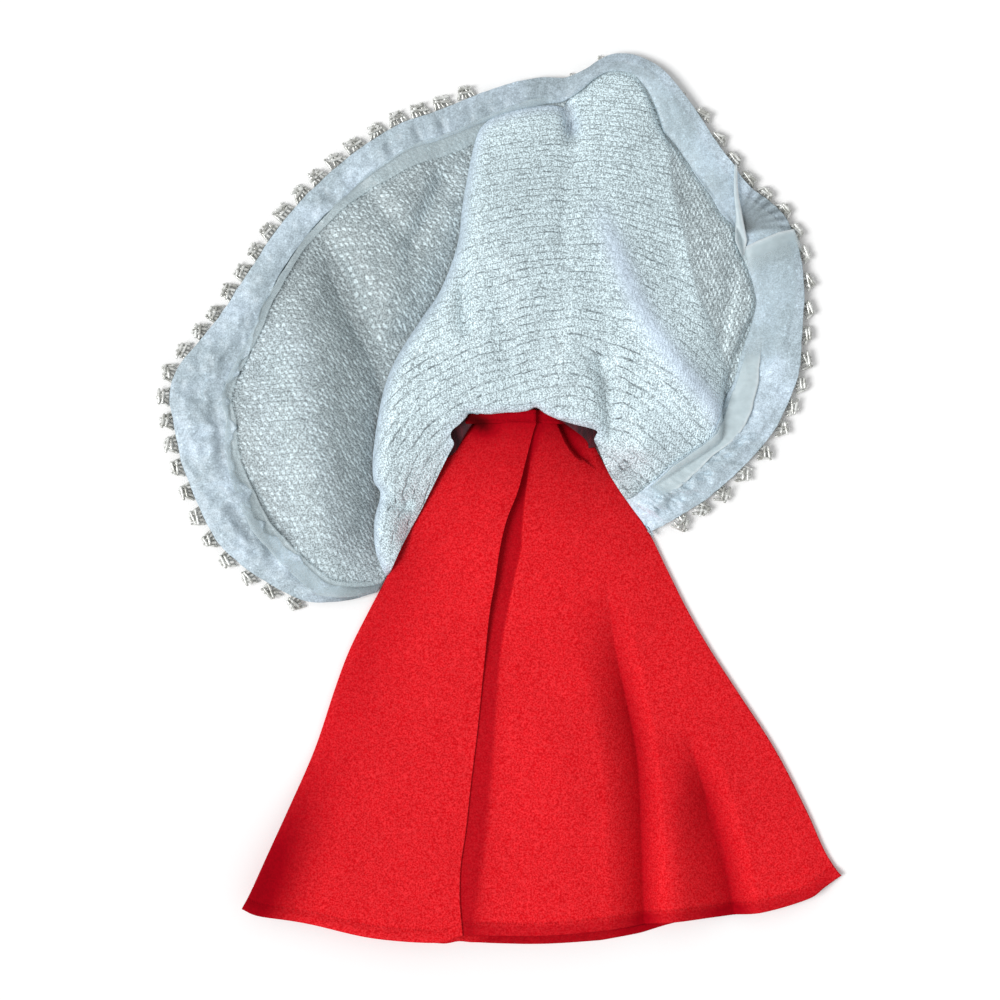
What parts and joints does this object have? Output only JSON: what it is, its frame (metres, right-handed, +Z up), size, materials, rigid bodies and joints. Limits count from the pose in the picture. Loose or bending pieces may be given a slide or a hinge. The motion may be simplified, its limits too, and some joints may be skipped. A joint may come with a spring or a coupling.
{
  "type": "fashion doll skirt set",
  "caption": "Fashion doll's red wrap skirt lying flat, with a silver knit overskirt turned up from the waist, faced and ribboned hem, looped bead fringe and snap waistband.",
  "frame": {"origin": "on the surface that the set lies on, under the middle of its box", "axes": "+Z up, +Y from the red hem towards the turned-up silver hem, +X to the picture's right"},
  "size_m": [0.2244, 0.2896, 0.0209],
  "materials": {
    "red_crepe": "fine satin-backed crepe, soft sheen",
    "silver_knit": "white and silver metallic knit with fine rows",
    "pale_facing": "smooth pale glittering facing",
    "organza": "sheer crisp ribbon",
    "silver_beads": "silver-lined glass beads, glossy",
    "brass_closure": "pressed brass, slightly tarnished"
  },
  "bodies": {
    "skirt": {"skirt_front_panel": "red_crepe", "skirt_right_back_panel": "red_crepe", "skirt_left_back_panel": "red_crepe", "waistband": "red_crepe", "snap_socket": "brass_closure", "snap_stud": "brass_closure", "waist_hook": "brass_closure"},
    "wrap_flap": {"wrap_flap": "red_crepe"},
    "overskirt": {"overskirt_puff": "silver_knit", "overskirt_wing": "silver_knit", "overskirt_waist_tape": "pale_facing", "hem_facing_left": "pale_facing", "hem_facing_top": "pale_facing", "hem_facing_right": "pale_facing", "organza_ribbon_left": "organza", "organza_ribbon_top": "organza", "organza_ribbon_right": "organza", "bead_fringe_right_1": "silver_beads", "bead_fringe_right_2": "silver_beads", "bead_fringe_right_3": "silver_beads", "bead_fringe_top_1": "silver_beads", "bead_fringe_left_1": "silver_beads", "bead_fringe_left_2": "silver_beads", "bead_fringe_left_3": "silver_beads", "bead_fringe_left_4": "silver_beads"}
  },
  "joints": [
    {"name": "overskirt_turn", "type": "hinge", "parent": "skirt", "child": "overskirt", "pos_m": [0.0083, 0.02526, 0.00903], "axis": [1, 0, 0], "range_deg": [0, 135]},
    {"name": "wrap_flap_lift", "type": "hinge", "parent": "skirt", "child": "wrap_flap", "pos_m": [-0.0187, -0.057, 0.009], "axis": [-0.3441, -0.9389, 0], "range_deg": [0, 120]}
  ]
}
